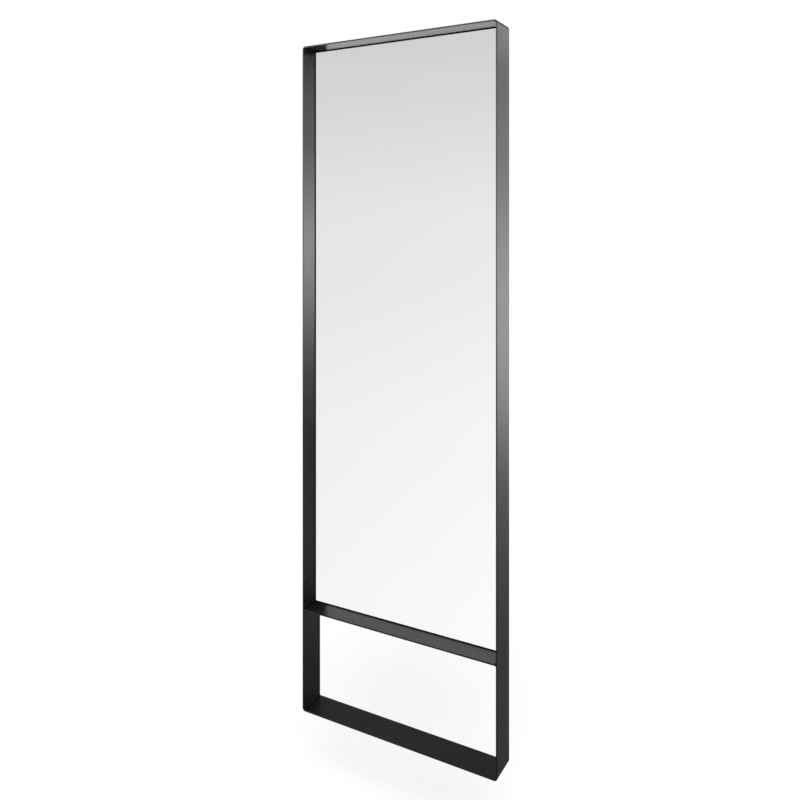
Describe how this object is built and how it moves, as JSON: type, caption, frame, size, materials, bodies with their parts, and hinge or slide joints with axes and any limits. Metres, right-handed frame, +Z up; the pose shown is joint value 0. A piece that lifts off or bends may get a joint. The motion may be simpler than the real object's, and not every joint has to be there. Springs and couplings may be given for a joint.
{
  "type": "wall mirror",
  "caption": "Tall narrow wall mirror: a frameless pane set deep in a dark steel box frame, with a full-depth cross rail and an open bay below it.",
  "frame": {"origin": "on the wall plane, midway between the entries of the two keyholes", "axes": "+X to the right seen from the front, +Y into the wall, +Z up; the front faces -Y"},
  "size_m": [0.6, 0.06, 1.8],
  "materials": {
    "frame_steel": "dark satin, brushed along the bar, clear sealed",
    "weld_steel": "dark satin weld bead",
    "mirror_glass": "silvered float glass with a polished arris",
    "film": "grey safety film",
    "tape": "white foam tape",
    "board": "black through-coloured fibreboard, matt",
    "rubber": "black rubber",
    "tab_steel": "dark satin, as the bar",
    "screw_steel": "zinc plated"
  },
  "bodies": {
    "root": {"left_upright": "frame_steel", "right_upright": "frame_steel", "top_bar": "frame_steel", "bottom_bar": "frame_steel", "cross_rail": "frame_steel", "corner_welds": "weld_steel", "rail_welds": "weld_steel", "mirror_pane": "mirror_glass", "safety_film": "film", "mounting_tape": "tape", "backing_board": "board", "setting_blocks": "rubber", "left_tabs": "tab_steel", "right_tabs": "tab_steel", "top_tabs": "tab_steel", "rail_tabs": "tab_steel", "panel_screws": "screw_steel", "left_hanger_plate": "tab_steel", "right_hanger_plate": "tab_steel", "wall_bumpers": "rubber"}
  },
  "joints": []
}
